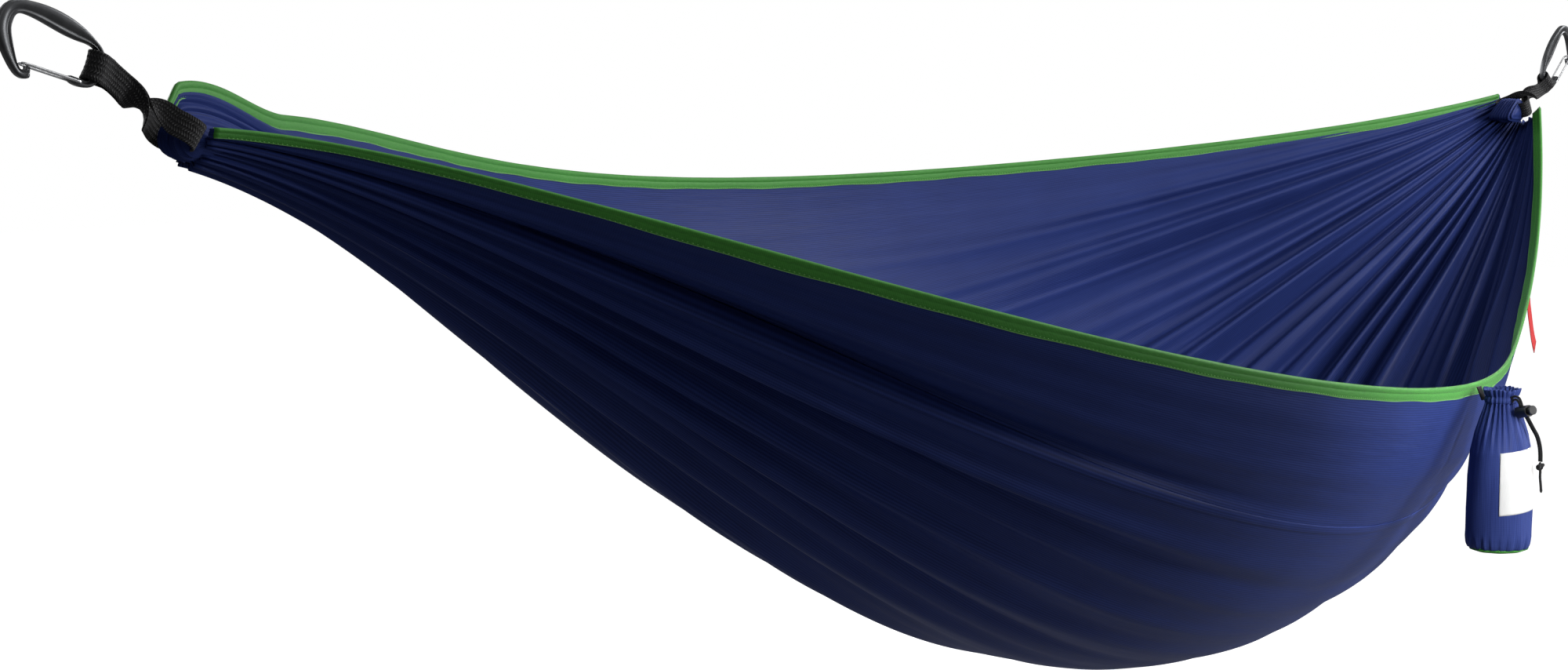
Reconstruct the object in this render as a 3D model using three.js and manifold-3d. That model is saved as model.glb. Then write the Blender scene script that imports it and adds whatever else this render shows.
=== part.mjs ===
// Camping hammock: a gathered-end cloth bed hung from two wire-gate carabiners on webbing
// loops, with a stuff sack sewn to its near edge.  Millimetres, +Z up.
// +X runs along the hammock from the left carabiner to the right one, +Y points to the far
// edge.  The origin is the inner crown face of the left carabiner, where the hammock hangs.
import * as THREE from 'three';
import { mergeVertices } from 'three/addons/utils/BufferGeometryUtils.js';
import Module from 'manifold-3d';

const wasm = await Module();
wasm.setup();

// ---------------------------------------------------------------- driving dimensions
const GATHER_SPAN = 2600;          // between the two gathered ends, along X
const GATHER_HALF_WIDTH = 24;      // half width of the cloth where it bunches up
const GATHER_DEPTH = 30;           // depth of the bunched cloth there
const LEFT_CLOTH_END = -0.95;      // ends of the open cloth, as a fraction of the half span
const RIGHT_CLOTH_END = 0.925;
// Each edge and the bottom follow size * (1 - u^2) * (1 + a u^2 + b u + c u^3), u from -1 to 1.
const NEAR_OUT = { size: 472, shape: [-0.561, -0.408, 0.723] };
const NEAR_DROP = { size: 292, shape: [0.316, 0.322, 0.921] };
const FAR_OUT = { size: 479, shape: [-0.51, -0.04, -0.02] };
const FAR_DROP = { size: 98, shape: [-0.664, 0.477, 0.484] };
const BOTTOM_DROP = { size: 599, shape: [-0.472, 0.149, 0.176] };
const SECTION_POWER = 1.39;        // fullness of the cross-section
const CLOTH = 3;                   // thickness of the cloth's solid
const SEAM_AT = 0.15;              // side-panel seams, as a fraction of the section's sweep
const SEAM_GAP = 0.006;            // gap between two panels at a seam, same measure
const PANEL_COLUMNS = 32;          // facets along the bed
const PANEL_ROWS = 4;              // facets across a side panel
const CENTRE_ROWS = 16;            // facets across the centre panel
const SEAM_TAPE = 1.2;             // thickness of a felled seam
const BINDING_LEG = 12;            // how far the binding reaches down each face
const BINDING_CLOTH = 0.9;
const FIT_GAP = 0.4;               // clearance between pieces that touch

const SLEEVE_RADIUS = 19;
const SLEEVE_BORE = 13.2;
const SLEEVE_LENGTH = 52;
const WEBBING_WIDTH = 24;
const WEBBING_CLOTH = 2;
const WEBBING_REACH = 100;         // sleeve axis to the carabiner's narrow bar
const WEBBING_EYE = 8;             // centreline radius of the loop round the bar
const LEFT_END = { at: [-1284, 0, -10], swing: 174, webbingPitch: 35, carabinerPitch: 23 };
const RIGHT_END = { at: [1254, 0, -26], swing: -10, webbingPitch: 25, carabinerPitch: 53 };

const BAR_DEPTH = 8;               // carabiner bar, across its flat face
const BAR_BEVEL = 1.6;
const CROWN = 82.2;                // narrow bar's centre to the inner crown face
const CROWN_FACE = 8;              // length of the flat on the inner crown
const GATE_WIRE = 1.15;            // wire radius
const GATE_PIVOT = [11, -16.6];
const GATE_NOSE = [63.6, -22.6];

const TAG = { from: 0.632, to: 0.669, drop: 56, cloth: 1.2 };

const SACK_TAB_OFFSET = [0, -6, -2];   // top of the sack's hang tab from the cloth's edge
const SACK_AT = 0.085;             // place of the sack along the near edge
const SACK_DEPTH_RATIO = 0.9;      // its depth against its width
const SACK_STAND_OFF = 28;         // sack's centre line to the swing pivot
const SACK_BOTTOM = -172;
const LABEL = { from: 206, to: 296, top: -64, bottom: -131 };
const LOCK_ANGLE = 250;            // side of the neck where the cord lock sits, degrees
const LOCK_OUT = 32.5;             // lock's centre from the sack's centre line
const LOCK_DROP = -22;
const LOCK_RADIUS = 6.3;
const LOCK_LENGTH = 17;
const LOCK_BORE = 4.7;
const LOCK_BORE_SHIFT = 1.7;
const SLIDE = { sideways: 0.42, outward: 0.24, down: 0.875 };  // way the lock slides, unit length
const STRAIGHT_RUN = 31;           // strands stay straight this far below the lock's centre
const KNOT = { outward: 41.8, sideways: 16.6, z: -81, radius: 4.8 };
const CORD_RADIUS = 1.3;
const CORD_APART = 1.7;            // each strand to the middle of the pair
const BUTTON_TRAVEL = 3.5;

// ---------------------------------------------------------------- materials
const material = (color, roughness, metalness = 0) =>
  new THREE.MeshStandardMaterial({ color, roughness, metalness });
const NAVY = material('#1d2a5e', 0.62);
const GREEN = material('#43a032', 0.6);
const WEBBING = material('#2a2a2c', 0.85);
const ANODISED = material('#3b3c3e', 0.4, 0.8);
const STEEL = material('#c9ccd0', 0.25, 1);
const BLACK_PLASTIC = material('#141416', 0.45);
const CORD = material('#17171a', 0.8);
const RED = material('#d8262c', 0.7);
const WHITE = material('#f2f2ef', 0.6);

// ---------------------------------------------------------------- solids from points
const V = (x, y, z) => new THREE.Vector3(x, y, z);
const rad = THREE.MathUtils.degToRad;

function fromTriangles(points, triangles) {
  const geometry = new THREE.BufferGeometry();
  geometry.setAttribute('position', new THREE.Float32BufferAttribute(points.flatMap((p) => [p.x, p.y, p.z]), 3));
  geometry.setIndex(triangles.flat());
  geometry.computeVertexNormals();
  return geometry;
}

function signedVolume(points, triangles) {
  return triangles.reduce((sum, [a, b, c]) =>
    sum + points[a].dot(points[b].clone().cross(points[c])), 0) / 6;
}

// A body lofted through rings of equal count; open lofts are capped, closed ones join up.
function loft(rings, closed = false) {
  const count = rings[0].length;
  const points = rings.flat().map((p) => p.clone());
  const triangles = [];
  const last = closed ? rings.length : rings.length - 1;
  for (let i = 0; i < last; i++) {
    const next = (i + 1) % rings.length;
    for (let j = 0; j < count; j++) {
      const a = i * count + j;
      const b = i * count + ((j + 1) % count);
      const c = next * count + ((j + 1) % count);
      const d = next * count + j;
      triangles.push([a, b, c], [a, c, d]);
    }
  }
  if (!closed) {
    for (const [ring, flip] of [[0, true], [rings.length - 1, false]]) {
      const centre = rings[ring].reduce((sum, p) => sum.add(p), V(0, 0, 0)).divideScalar(count);
      points.push(centre);
      const hub = points.length - 1;
      for (let j = 0; j < count; j++) {
        const a = ring * count + j;
        const b = ring * count + ((j + 1) % count);
        triangles.push(flip ? [hub, b, a] : [hub, a, b]);
      }
    }
  }
  if (signedVolume(points, triangles) < 0) triangles.forEach((t) => t.reverse());
  return fromTriangles(points, triangles);
}

// A slab between two sheets of points, top(i, j) and bottom(i, j).
function slab(columns, rows, top, bottom) {
  const rings = [];
  for (let i = 0; i <= columns; i++) {
    const upper = [];
    const lower = [];
    for (let j = 0; j <= rows; j++) {
      upper.push(top(i, j));
      lower.push(bottom(i, j));
    }
    rings.push([...upper, ...lower.reverse()]);
  }
  return slabFromRings(rings, rows + 1);
}

// Rings that run along one sheet and back along the other get ladder caps, not fans.
function slabFromRings(rings, half) {
  const count = rings[0].length;
  const points = rings.flat();
  const triangles = [];
  for (let i = 0; i < rings.length - 1; i++) {
    for (let j = 0; j < count; j++) {
      const a = i * count + j;
      const b = i * count + ((j + 1) % count);
      triangles.push([a, b, b + count], [a, b + count, a + count]);
    }
  }
  for (const [ring, flip] of [[0, true], [rings.length - 1, false]]) {
    const base = ring * count;
    for (let j = 0; j < half - 1; j++) {
      const a = base + j;
      const b = base + j + 1;
      const c = base + count - 2 - j;
      const d = base + count - 1 - j;
      const quad = [[a, b, c], [a, c, d]];
      triangles.push(...(flip ? quad.map((t) => t.reverse()) : quad));
    }
  }
  if (signedVolume(points, triangles) < 0) triangles.forEach((t) => t.reverse());
  return fromTriangles(points, triangles);
}

// A round tube through hand-placed points.
function tube(points, radius, sides, steps) {
  const curve = new THREE.CatmullRomCurve3(points, false, 'centripetal');
  const section = new THREE.Shape();
  for (let i = 0; i < sides; i++) {
    const angle = (2 * Math.PI * i) / sides;
    const place = [radius * Math.cos(angle), radius * Math.sin(angle)];
    if (i === 0) section.moveTo(...place);
    else section.lineTo(...place);
  }
  return new THREE.ExtrudeGeometry(section, { steps, extrudePath: curve, bevelEnabled: false, curveSegments: 1 });
}

function toManifold(geometry) {
  const bare = geometry.clone();
  bare.deleteAttribute('normal');
  bare.deleteAttribute('uv');
  const merged = mergeVertices(bare, 1e-4);
  return new wasm.Manifold(new wasm.Mesh({
    numProp: 3,
    vertProperties: new Float32Array(merged.attributes.position.array),
    triVerts: new Uint32Array(merged.index.array),
  }));
}

function fromManifold(manifold) {
  const mesh = manifold.getMesh();
  const geometry = new THREE.BufferGeometry();
  geometry.setAttribute('position', new THREE.BufferAttribute(mesh.vertProperties, 3));
  geometry.setIndex(new THREE.BufferAttribute(mesh.triVerts, 1));
  geometry.computeVertexNormals();
  return geometry;
}

function cylinder(radius, length, sides = 28) {
  return new THREE.CylinderGeometry(radius, radius, length, sides);
}

function named(name, geometry, look) {
  const mesh = new THREE.Mesh(geometry, look);
  mesh.name = name;
  return mesh;
}

// ---------------------------------------------------------------- the bed's shape
function arch(u, { size, shape: [a, b, c] }) {
  return size * (1 - u * u) * (1 + a * u * u + b * u + c * u ** 3);
}

// v runs across the bed, 0 on the near edge and 1 on the far edge.
function bedPoint(u, v) {
  const farShare = (1 - Math.cos(Math.PI * v)) / 2;
  const nearY = -arch(u, NEAR_OUT) - GATHER_HALF_WIDTH;
  const farY = arch(u, FAR_OUT) + GATHER_HALF_WIDTH;
  const nearZ = -arch(u, NEAR_DROP);
  const farZ = -arch(u, FAR_DROP);
  const depth = arch(u, BOTTOM_DROP) + GATHER_DEPTH + (nearZ + farZ) / 2;
  return V(
    (u * GATHER_SPAN) / 2,
    nearY * (1 - farShare) + farY * farShare,
    nearZ * (1 - farShare) + farZ * farShare - depth * Math.sin(Math.PI * v) ** SECTION_POWER,
  );
}

// Unit normal, pointing into the hollow of the bed.
function bedNormal(u, v) {
  const du = bedPoint(u + 1e-3, v).sub(bedPoint(u - 1e-3, v));
  const low = Math.max(v, 0.01);
  const high = Math.min(low + 1e-3, 0.99);
  const dv = bedPoint(u, high).sub(bedPoint(u, high - 2e-3));
  return du.cross(dv).normalize();
}

const clothEnd = (i, columns) => LEFT_CLOTH_END + ((RIGHT_CLOTH_END - LEFT_CLOTH_END) * i) / columns;

function panel(vFrom, vTo, rows, inner = CLOTH / 2, outer = -CLOTH / 2) {
  const place = (offset) => (i, j) => {
    const u = clothEnd(i, PANEL_COLUMNS);
    const v = vFrom + ((vTo - vFrom) * j) / rows;
    return bedPoint(u, v).addScaledVector(bedNormal(u, v), offset);
  };
  return slab(PANEL_COLUMNS, rows, place(inner), place(outer));
}

function seam(v) {
  const half = 3 * SEAM_GAP;
  const inside = -CLOTH / 2 - FIT_GAP;
  return panel(v - half, v + half, 2, inside, inside - SEAM_TAPE);
}

// A folded tape over one long edge: down one face, round the edge and down the other.
// It follows the side panel's first row of facets, so both keep an even gap.
function binding(v) {
  const firstRow = Math.abs(v - (SEAM_AT - SEAM_GAP) / PANEL_ROWS);
  const inner = CLOTH / 2 + FIT_GAP;
  const path = [[-1, -1], [-0.5, -1], [0, -1], [0.75, -0.72], [1, 0], [0.75, 0.72], [0, 1], [-0.5, 1], [-1, 1]];
  const place = (half) => (i, j) => {
    const u = clothEnd(i, PANEL_COLUMNS);
    const [out, side] = path[j];
    const edge = bedPoint(u, v).addScaledVector(bedNormal(u, v), side * half);
    const row = bedPoint(u, firstRow).addScaledVector(bedNormal(u, firstRow), side * half);
    const down = row.sub(edge);
    const leg = Math.min(BINDING_LEG, down.length());
    return edge.addScaledVector(down.normalize(), out > 0 ? -out * half - FIT_GAP : -out * leg);
  };
  return slab(PANEL_COLUMNS, path.length - 1, place(inner), place(inner + BINDING_CLOTH));
}

function sideTag() {
  const columns = 3;
  const rows = 4;
  const place = (offset) => (i, j) => {
    const u = TAG.from + ((TAG.to - TAG.from) * i) / columns;
    const top = bedPoint(u, 0);
    const down = bedPoint(u, 0.02).sub(top).normalize();
    const normal = bedNormal(u, 0);
    const drop = 4 + (TAG.drop * j) / rows;
    const flare = CLOTH / 2 + BINDING_CLOTH + 2 * FIT_GAP + 10 * (j / rows) ** 2;
    return top.addScaledVector(down, drop).addScaledVector(normal, -flare - offset);
  };
  return slab(columns, rows, place(0), place(TAG.cloth));
}

// ---------------------------------------------------------------- the two hanging ends
// Every end is built with +X pointing away from the bed.
function endSleeve(tailLength, tailDrop, tailHalfWidth, tailHalfDepth) {
  const rings = [];
  const stations = 5;
  const sides = 20;
  for (let i = 0; i <= stations; i++) {
    const share = i / stations;
    const width = SLEEVE_LENGTH / 2 + (tailHalfWidth - SLEEVE_LENGTH / 2) * share;
    const depth = SLEEVE_RADIUS * 0.9 + (tailHalfDepth - SLEEVE_RADIUS * 0.9) * share;
    rings.push([...Array(sides).keys()].map((j) => {
      const angle = (2 * Math.PI * j) / sides;
      return V(-4 - (tailLength - 4) * share, width * Math.cos(angle), depth * Math.sin(angle) - tailDrop * share ** 1.3);
    }));
  }
  const tail = toManifold(loft(rings));
  const tubeBody = toManifold(cylinder(SLEEVE_RADIUS, SLEEVE_LENGTH));
  const bore = toManifold(cylinder(SLEEVE_BORE, 4 * SLEEVE_LENGTH));
  return fromManifold(tubeBody.add(tail).subtract(bore));
}

// The loop's centreline, from the middle of the sleeve round the carabiner bar and back.
function webbingPath() {
  const layer = WEBBING_CLOTH / 2 + 0.35;
  const corner = 35.5;
  const half = [[0, 0], [0, 14], [0, 24], [1.2, 30], [5, 34.2], [11, corner], [17, 33.4], [24, 28],
    [32, 19], [40, 10], [47, 4.4], [54, layer], [70, layer], [84, layer], [90, 3.4]];
  const eye = [];
  for (let angle = 132; angle > 0; angle -= 22) {
    eye.push([WEBBING_REACH + WEBBING_EYE * Math.cos(rad(angle)), WEBBING_EYE * Math.sin(rad(angle))]);
  }
  eye.push([WEBBING_REACH + WEBBING_EYE, 0]);
  const outward = [...half, ...eye];
  const back = outward.slice(1, -1).reverse().map(([x, y]) => [x, -y]);
  const curve = new THREE.CatmullRomCurve3([...outward, ...back].map(([x, y]) => V(x, y, 0)), true, 'centripetal');
  return curve.getPoints(84).slice(0, -1);
}

// The eye leans by lean degrees so that it stays square to the carabiner's bar.
function webbingLoop(lean) {
  const path = webbingPath();
  const eyeBack = 1.5 * WEBBING_EYE;
  const rings = path.map((point, i) => {
    const before = path[(i + path.length - 1) % path.length];
    const after = path[(i + 1) % path.length];
    const along = after.clone().sub(before).normalize();
    const across = V(-along.y, along.x, 0);
    return [[-1, -1], [-1, 1], [1, 1], [1, -1]].map(([side, height]) => {
      const place = point.clone().addScaledVector(across, (side * WEBBING_CLOTH) / 2);
      const share = THREE.MathUtils.smoothstep(place.x, 50, WEBBING_REACH - eyeBack);
      const angle = rad(lean) * share;
      const fromBar = place.x - WEBBING_REACH;
      const turned = Math.max(fromBar, -eyeBack);
      const tall = (height * WEBBING_WIDTH) / 2;
      return V(
        WEBBING_REACH + fromBar + turned * (Math.cos(angle) - 1) - tall * Math.sin(angle),
        place.y,
        turned * Math.sin(angle) + tall * Math.cos(angle),
      );
    });
  });
  return loft(rings, true);
}

// Flat C-shaped bar with a broad spine, wide crown, hooked nose and a narrow end.
function carabinerBody() {
  const outer = [[21, -18], [17, -19.8], [8, -19.4], [0.5, -16.6], [-4.4, -10], [-5.2, 0], [-4.2, 9],
    [1.5, 15.6], [9, 19.5], [21, 24], [34, 26.8], [47, 27.8], [60, 27.2], [72, 25.2], [82, 22.6],
    [89.5, 18.5], [93.8, 12.5], [95.5, 5], [94.6, -3], [91, -10], [84.5, -17.8], [77, -24.5],
    [69.5, -30], [63.5, -32.8], [57.5, -33], [53.6, -30.4], [54.2, -27]];
  const inner = [[55, -22.6], [58.4, -22], [59.6, -26], [63.5, -27], [67.6, -24], [71.4, -18.8],
    [77, -10.4], [80.6, -4.2], [CROWN, 4 - CROWN_FACE / 2], [CROWN, 4 + CROWN_FACE / 2], [80.4, 11],
    [76.6, 13], [70, 13.9], [60, 13.9], [48.4, 13.2], [36, 12.6], [25, 12.9], [14, 14], [8.6, 13.8],
    [5.4, 12.4], [5.2, 0], [5.4, -12.4], [8.4, -13.6], [14, -14], [20, -14.6]];
  const shape = new THREE.Shape([...outer, ...inner].map(([u, w]) => new THREE.Vector2(u, w)));
  const geometry = new THREE.ExtrudeGeometry(shape, {
    depth: BAR_DEPTH - 2 * BAR_BEVEL,
    bevelThickness: BAR_BEVEL,
    bevelSize: BAR_BEVEL,
    bevelOffset: -BAR_BEVEL,
    bevelSegments: 1,
    curveSegments: 1,
  });
  geometry.rotateX(Math.PI / 2);
  geometry.translate(0, BAR_DEPTH / 2 - BAR_BEVEL, 0);
  const holes = toManifold(cylinder(GATE_WIRE + FIT_GAP, 2 * BAR_DEPTH, 12).translate(GATE_PIVOT[0], 0, GATE_PIVOT[1]));
  return fromManifold(toManifold(geometry).subtract(holes));
}

// One bent wire: two legs beside the bar, joined inside the nose, ends turned into the bar.
function carabinerGate() {
  const leg = BAR_DEPTH / 2 + GATE_WIRE + 1.5 * FIT_GAP;
  const [pivotU, pivotW] = GATE_PIVOT;
  const [noseU, noseW] = GATE_NOSE;
  const at = (share, side) => V(pivotU + (noseU - pivotU) * share, side, pivotW + (noseW - pivotW) * share);
  const half = (sign) => [at(0, sign * 0.9), at(0, sign * (leg - 2.4)), at(0.012, sign * (leg - 0.7)),
    at(0.045, sign * leg), at(0.2, sign * leg), at(0.6, sign * leg), at(0.9, sign * leg),
    at(0.965, sign * (leg - 0.8)), at(0.995, sign * (leg - 2.6))];
  const points = [...half(1), at(1, 0), ...half(-1).reverse()];
  return tube(points, GATE_WIRE, 6, 40);
}

function hangingEnd(side, { at, swing, webbingPitch, carabinerPitch }, sleeve) {
  const end = new THREE.Group();
  end.position.set(...at);
  end.rotation.z = rad(swing);
  end.add(named(`${side}_end_sleeve`, sleeve, NAVY));
  const webbing = new THREE.Group();
  webbing.rotation.y = -rad(webbingPitch);
  webbing.add(named(`${side}_webbing_loop`, webbingLoop(carabinerPitch - webbingPitch), WEBBING));
  const carabiner = new THREE.Group();
  carabiner.position.x = WEBBING_REACH;
  carabiner.rotation.y = -rad(carabinerPitch - webbingPitch);
  carabiner.add(named(`${side}_carabiner_body`, carabinerBody(), ANODISED));
  carabiner.add(named(`${side}_carabiner_gate`, carabinerGate(), STEEL));
  webbing.add(carabiner);
  end.add(webbing);
  return end;
}

// ---------------------------------------------------------------- the stuff sack
// Built round its own centre line, with z = 0 level with the swing pivot.
const squashRound = (geometry) => geometry.rotateX(Math.PI / 2).scale(1, SACK_DEPTH_RATIO, 1);

function lathe(profile, segments = 24) {
  return squashRound(new THREE.LatheGeometry(profile.map(([r, z]) => new THREE.Vector2(r, z)), segments));
}

const SACK_OUTLINE = [[35.5, SACK_BOTTOM], [38, -160], [38.5, -130], [38, -95], [35.5, -68], [30.5, -48],
  [23.5, -30], [19.2, -20], [18.2, -15.2]];

function sackRadius(z) {
  const above = SACK_OUTLINE.findIndex(([, height]) => height >= z);
  const [r0, z0] = SACK_OUTLINE[Math.max(above - 1, 0)];
  const [r1, z1] = SACK_OUTLINE[Math.max(above, 1)];
  return r0 + ((r1 - r0) * (z - z0)) / (z1 - z0);
}

function sackBody() {
  const wall = 1.8;
  const inner = SACK_OUTLINE.map(([r, z]) => [r - wall, z]).reverse();
  return lathe([...SACK_OUTLINE, ...inner, SACK_OUTLINE[0]]);
}

function sackBase() {
  return lathe([[0, SACK_BOTTOM - 4.4], [27, SACK_BOTTOM - 4], [34.6, SACK_BOTTOM - 2.4], [34.6, SACK_BOTTOM - FIT_GAP],
    [0, SACK_BOTTOM - FIT_GAP]]);
}

// A ring of hem with a groove for the drawcord; the ruffle stands above it.
function neckChannel() {
  return lathe([[13, -14.8], [18.4, -14.8], [18.4, -12.4], [15.2, -12.4], [15.2, -7.6], [18.4, -7.6],
    [20.4, -2], [19.2, -1.6], [13, -6], [13, -14.8]]);
}

function drawcordNeckLoop() {
  return squashRound(new THREE.TorusGeometry(17, CORD_RADIUS, 8, 24).rotateX(Math.PI / 2)).translate(0, 0, -10);
}

function labelPatch() {
  const columns = 10;
  const rows = 4;
  const place = (lift) => (i, j) => {
    const angle = rad(LABEL.from + ((LABEL.to - LABEL.from) * i) / columns);
    const z = LABEL.bottom + ((LABEL.top - LABEL.bottom) * j) / rows;
    const r = sackRadius(z) + lift;
    return V(r * Math.cos(angle), r * Math.sin(angle) * SACK_DEPTH_RATIO, z);
  };
  return slab(columns, rows, place(1.4), place(0.7));
}

// The lock's own frame: x across, y out of the button's end, z against the slide.
function lockFrame() {
  const outward = V(Math.cos(rad(LOCK_ANGLE)), Math.sin(rad(LOCK_ANGLE)), 0);
  const sideways = V(-outward.y, outward.x, 0);
  const slide = V(0, 0, -SLIDE.down).addScaledVector(sideways, SLIDE.sideways).addScaledVector(outward, SLIDE.outward);
  const button = outward.clone().addScaledVector(slide, -outward.dot(slide)).normalize();
  const centre = outward.clone().multiplyScalar(LOCK_OUT).add(V(0, 0, LOCK_DROP));
  return { outward, sideways, slide, button, centre };
}

function placeInLock(geometry) {
  const { slide, button, centre } = lockFrame();
  const up = slide.clone().negate();
  const across = button.clone().cross(up);
  return geometry.applyMatrix4(new THREE.Matrix4().makeBasis(across, button, up).setPosition(centre));
}

function slot(width, length, height) {
  return toManifold(new THREE.BoxGeometry(width, length, height));
}

function lockBarrel() {
  const body = toManifold(cylinder(LOCK_RADIUS, LOCK_LENGTH, 24));
  const bore = toManifold(cylinder(LOCK_BORE, LOCK_LENGTH, 20).translate(0, LOCK_BORE_SHIFT, 0));
  const cordWay = slot(2 * CORD_RADIUS + 0.9, 2 * (CORD_APART + CORD_RADIUS) + 0.9, 40);
  return placeInLock(fromManifold(body.subtract(bore).subtract(cordWay)));
}

function lockButton() {
  const plunger = toManifold(cylinder(4.2, 13, 20).translate(0, 3.4, 0));
  const cap = toManifold(cylinder(5, 2.4, 20).translate(0, LOCK_LENGTH / 2 + BUTTON_TRAVEL + 0.5 + 1.2, 0));
  const neck = toManifold(cylinder(3.8, 6, 20).translate(0, LOCK_LENGTH / 2 + 1.5, 0));
  const window = 2 * (CORD_APART + CORD_RADIUS) + BUTTON_TRAVEL + 0.9;
  const cordWay = toManifold(new THREE.BoxGeometry(2 * CORD_RADIUS + 0.9, window, 40).translate(0, BUTTON_TRAVEL / 2, 0));
  return placeInLock(fromManifold(plunger.add(neck).add(cap).subtract(cordWay)));
}

// Small compression spring in the blind end of the barrel.
function lockSpring() {
  const turns = 2.5;
  const points = [];
  for (let i = 0; i <= turns * 10; i++) {
    const angle = (2 * Math.PI * i) / 10;
    points.push(V(3.1 * Math.cos(angle), -5.7 + (1.9 * i) / (turns * 10), 3.1 * Math.sin(angle)));
  }
  return placeInLock(tube(points, 0.35, 5, 30));
}

// Each strand rises from the neck, turns down through the lock and hangs to the knot.
function strandRoute(side) {
  const { outward, sideways, slide, button, centre } = lockFrame();
  const bend = 7;
  const bendOut = LOCK_OUT - bend - 2;
  const bendZ = LOCK_DROP + 7;
  const over = -3.4;
  const apart = side * CORD_APART;
  const local = (out, along, z) => outward.clone().multiplyScalar(out).addScaledVector(sideways, along).add(V(0, 0, z));
  const points = [local(18.2 - apart * 0.2, over, bendZ + 3.9 + apart * 0.95)];
  for (let angle = 116; angle > 20; angle -= 24) {
    points.push(local(bendOut + (bend + apart) * Math.cos(rad(angle)), over, bendZ + (bend + apart) * Math.sin(rad(angle))));
  }
  for (const run of [-5, 0, 10, 20, STRAIGHT_RUN]) {
    points.push(centre.clone().addScaledVector(slide, run).addScaledVector(button, apart));
  }
  const spread = apart * 0.9;
  points.push(local(KNOT.outward - 0.4 + spread, KNOT.sideways - 1, -60));
  points.push(local(KNOT.outward + spread, KNOT.sideways - 0.2, -68));
  points.push(local(KNOT.outward + spread, KNOT.sideways, KNOT.z + KNOT.radius + 0.2));
  return points;
}

// Both strands end in one knot with a short fused tail.
function knot() {
  const { outward, sideways } = lockFrame();
  const middle = outward.clone().multiplyScalar(KNOT.outward).addScaledVector(sideways, KNOT.sideways).setZ(KNOT.z);
  const ball = toManifold(new THREE.SphereGeometry(KNOT.radius, 14, 10).translate(...middle.toArray()));
  const along = (x, z) => middle.clone().add(V(x, 0, z));
  const tail = toManifold(tube([middle, along(0.6, -10), along(2, -20), along(4, -29)], 1.9, 8, 6));
  return fromManifold(ball.add(tail));
}

function stuffSack() {
  const sack = new THREE.Group();
  sack.position.y = -SACK_STAND_OFF;
  sack.add(named('stuff_sack_body', sackBody(), NAVY));
  sack.add(named('stuff_sack_base', sackBase(), GREEN));
  sack.add(named('stuff_sack_neck_channel', neckChannel(), NAVY));
  sack.add(named('stuff_sack_label_patch', labelPatch(), WHITE));
  sack.add(named('drawcord_neck_loop', drawcordNeckLoop(), CORD));
  sack.add(named('cord_lock_barrel', lockBarrel(), BLACK_PLASTIC));
  sack.add(named('cord_lock_button', lockButton(), BLACK_PLASTIC));
  sack.add(named('cord_lock_spring', lockSpring(), STEEL));
  sack.add(named('drawcord_strand_inner', tube(strandRoute(-1), CORD_RADIUS, 8, 24), CORD));
  sack.add(named('drawcord_strand_outer', tube(strandRoute(1), CORD_RADIUS, 8, 24), CORD));
  sack.add(named('drawcord_knot', knot(), CORD));
  return sack;
}

// A sewn tab between the bed's binding and the sack's neck.
function hangTab() {
  const half = 5;
  const corner = (out, z) => (side) => V(side * half, out, z);
  const outline = [corner(-0.6, 0), corner(-1.8, 0), corner(-7.8, -14), corner(-6.6, -14)];
  return loft([outline.map((at) => at(-1)), outline.map((at) => at(1))]);
}

// ---------------------------------------------------------------- assembly
const hammock = new THREE.Group();
const seamNear = SEAM_AT;
const seamFar = 1 - SEAM_AT;
hammock.add(named('bed_near_side_panel', panel(0, seamNear - SEAM_GAP, PANEL_ROWS), NAVY));
hammock.add(named('bed_centre_panel', panel(seamNear + SEAM_GAP, seamFar - SEAM_GAP, CENTRE_ROWS), NAVY));
hammock.add(named('bed_far_side_panel', panel(seamFar + SEAM_GAP, 1, PANEL_ROWS), NAVY));
hammock.add(named('near_felled_seam', seam(seamNear), NAVY));
hammock.add(named('far_felled_seam', seam(seamFar), NAVY));
hammock.add(named('near_edge_binding', binding(0), GREEN));
hammock.add(named('far_edge_binding', binding(1), GREEN));
hammock.add(named('side_tag', sideTag(), RED));
hammock.add(hangingEnd('left', LEFT_END, endSleeve(42, 20, 42, 27)));
hammock.add(hangingEnd('right', RIGHT_END, endSleeve(38, 14, 56, 34)));

const sackHang = new THREE.Group();
sackHang.position.copy(bedPoint(SACK_AT, 0)).add(V(...SACK_TAB_OFFSET));
sackHang.add(named('sack_hang_tab', hangTab(), NAVY));
sackHang.add(stuffSack());
hammock.add(sackHang);

// Move the whole hammock so that the left crown face's centre is the origin.
const crown = V(CROWN, 0, 4).applyAxisAngle(V(0, 1, 0), -rad(LEFT_END.carabinerPitch));
const barCentre = V(WEBBING_REACH, 0, 0).applyAxisAngle(V(0, 1, 0), -rad(LEFT_END.webbingPitch));
const hangPoint = crown.add(barCentre).applyAxisAngle(V(0, 0, 1), rad(LEFT_END.swing)).add(V(...LEFT_END.at));
hammock.position.copy(hangPoint).negate();

const part = new THREE.Group();
part.add(hammock);
export default part;
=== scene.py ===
"""Looks of the camping hammock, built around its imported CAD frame.  Metres, row frame, +Z up.

The bed's own coordinates are u, from -1 at the left gather to 1 at the right one, and w, the share
of the cloth's width from the near edge (0) to the far edge (1).
"""

import math

import bpy
import numpy as np
from mathutils import Matrix, Vector


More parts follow.
